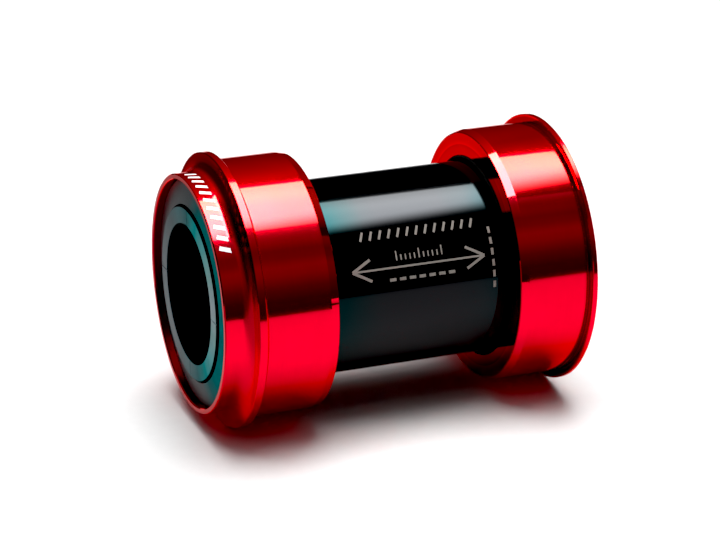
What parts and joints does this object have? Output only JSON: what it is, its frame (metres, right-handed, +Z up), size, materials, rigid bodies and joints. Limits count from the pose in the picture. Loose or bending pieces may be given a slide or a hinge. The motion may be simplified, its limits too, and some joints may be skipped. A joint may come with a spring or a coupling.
{
  "type": "press-fit bottom bracket",
  "caption": "Press-fit bicycle bottom bracket: flanged red bearing cups joined by a telescoping black sleeve, with sealed ball bearings for a through spindle.",
  "frame": {"origin": "on the spindle axis, midway between the inboard faces of the two cup flanges with the unit pushed together", "axes": "+Z up, +X forward on the bicycle, +Y along the spindle axis to the rider's left (non-drive side)"},
  "size_m": [0.0492, 0.0697, 0.049],
  "materials": {
    "red_anodised": "gloss red anodised, finely turned",
    "black_anodised": "gloss black anodised",
    "bearing_steel": "ground",
    "ball_ceramic": "polished",
    "cage_polymer": "moulded",
    "seal_rubber": "matt",
    "o_ring_rubber": "satin",
    "shield_polymer": "satin moulded",
    "bush_polymer": "satin turned"
  },
  "bodies": {
    "sleeve_unit": {"centre_sleeve": "black_anodised"},
    "left_cup_unit": {"left_cup": "red_anodised", "left_mouth_o_ring": "o_ring_rubber", "left_bearing_outer_ring": "bearing_steel", "left_bearing_outer_seal": "seal_rubber", "left_bearing_inner_seal": "seal_rubber", "left_dust_shield": "shield_polymer"},
    "left_spinner": {"left_bearing_inner_ring": "bearing_steel", "left_spindle_bush": "bush_polymer"},
    "left_ball_train": {"left_bearing_balls": "ball_ceramic", "left_bearing_cage": "cage_polymer"},
    "right_cup_unit": {"right_cup": "red_anodised", "right_mouth_o_ring": "o_ring_rubber", "right_bearing_outer_ring": "bearing_steel", "right_bearing_outer_seal": "seal_rubber", "right_bearing_inner_seal": "seal_rubber", "right_dust_shield": "shield_polymer"},
    "right_spinner": {"right_bearing_inner_ring": "bearing_steel", "right_spindle_bush": "bush_polymer"},
    "right_ball_train": {"right_bearing_balls": "ball_ceramic", "right_bearing_cage": "cage_polymer"}
  },
  "joints": [
    {"name": "sleeve_slide", "type": "slide", "parent": "left_cup_unit", "child": "sleeve_unit", "axis": [0, -1, 0], "range_m": [0, 0.0085]},
    {"name": "right_cup_slide", "type": "slide", "parent": "sleeve_unit", "child": "right_cup_unit", "axis": [0, -1, 0], "range_m": [0, 0.004]},
    {"name": "left_spindle_spin", "type": "hinge", "parent": "left_cup_unit", "child": "left_spinner", "pos_m": [0, 0.03115, 0], "axis": [0, 1, 0], "continuous": true},
    {"name": "left_ball_orbit", "type": "hinge", "parent": "left_cup_unit", "child": "left_ball_train", "pos_m": [0, 0.03115, 0], "axis": [0, 1, 0], "continuous": true},
    {"name": "right_spindle_spin", "type": "hinge", "parent": "right_cup_unit", "child": "right_spinner", "pos_m": [0, -0.02722, 0], "axis": [0, 1, 0], "continuous": true},
    {"name": "right_ball_orbit", "type": "hinge", "parent": "right_cup_unit", "child": "right_ball_train", "pos_m": [0, -0.02722, 0], "axis": [0, 1, 0], "continuous": true}
  ],
  "couplings": [
    {"joint": "left_ball_orbit", "follows": "left_spindle_spin", "ratio": 0.44355},
    {"joint": "right_ball_orbit", "follows": "right_spindle_spin", "ratio": 0.44355}
  ]
}
